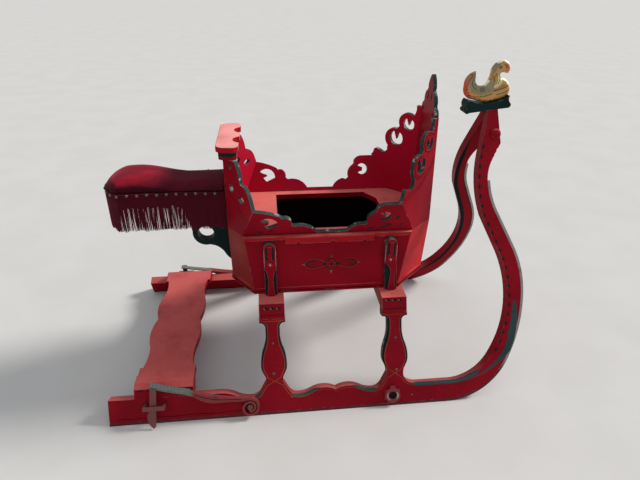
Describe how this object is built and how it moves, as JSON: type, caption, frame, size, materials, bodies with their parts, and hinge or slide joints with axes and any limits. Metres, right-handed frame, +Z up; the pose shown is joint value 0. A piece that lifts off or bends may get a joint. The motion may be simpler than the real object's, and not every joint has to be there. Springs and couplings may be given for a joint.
{
  "type": "horse drawn sleigh",
  "caption": "Carved and painted wooden sleigh with leaning curved runners, an octagonal body, a velvet saddle for the driver behind it, a footboard and side foot brakes.",
  "frame": {"origin": "on the ground at the middle of the sleigh's length and width", "axes": "+X forward to the head of the runners, +Y to the sleigh's left, +Z up"},
  "size_m": [1.644, 1.0016, 1.2478],
  "materials": {
    "red_paint": "gloss paint, worn",
    "dark_green_paint": "gloss paint, worn",
    "gilding": "worn gilding",
    "iron": "rusted",
    "velvet": "pile",
    "fringe": "twisted cord"
  },
  "bodies": {
    "root": {"body_floor": "red_paint", "bolster_front": "red_paint", "bolster_rear": "red_paint", "brake_keeper_left": "iron", "brake_keeper_right": "iron", "brake_pin_left": "iron", "brake_pin_right": "iron", "crest": "red_paint", "deck": "red_paint", "draught_eye_left": "iron", "draught_eye_right": "iron", "footboard": "red_paint", "front_board": "red_paint", "front_oblique_board_left": "red_paint", "front_oblique_board_right": "red_paint", "gilt_figure": "gilding", "head_peg": "red_paint", "panel_front": "red_paint", "panel_front_oblique_left": "red_paint", "panel_front_oblique_right": "red_paint", "panel_rear": "red_paint", "panel_rear_oblique_left": "red_paint", "panel_rear_oblique_right": "red_paint", "panel_side_left": "red_paint", "panel_side_right": "red_paint", "plinth": "dark_green_paint", "post_front_left": "red_paint", "post_front_right": "red_paint", "post_rear_left": "red_paint", "post_rear_right": "red_paint", "rear_board": "red_paint", "rear_oblique_board_left": "red_paint", "rear_oblique_board_right": "red_paint", "runner_left": "red_paint", "runner_right": "red_paint", "saddle_board": "red_paint", "saddle_fringe": "fringe", "saddle_pad": "velvet", "scroll_bracket": "dark_green_paint", "shoe_left": "iron", "shoe_right": "iron", "side_board_left": "red_paint", "side_board_right": "red_paint", "stay_front_left": "red_paint", "stay_front_right": "red_paint", "stay_rear_left": "red_paint", "stay_rear_right": "red_paint", "waist_rail_left": "red_paint", "waist_rail_right": "red_paint"},
    "brake_left": {"brake_arm_left": "red_paint", "brake_claw_left": "iron"},
    "brake_right": {"brake_arm_right": "red_paint", "brake_claw_right": "iron"}
  },
  "joints": [
    {"name": "brake_left_press", "type": "hinge", "parent": "root", "child": "brake_left", "pos_m": [-0.288, 0.46359, 0.0501], "axis": [0, 0.9246, 0.3809], "range_deg": [0, 6]},
    {"name": "brake_right_press", "type": "hinge", "parent": "root", "child": "brake_right", "pos_m": [-0.288, -0.46359, 0.0501], "axis": [0, 0.9246, -0.3809], "range_deg": [0, 6]}
  ]
}
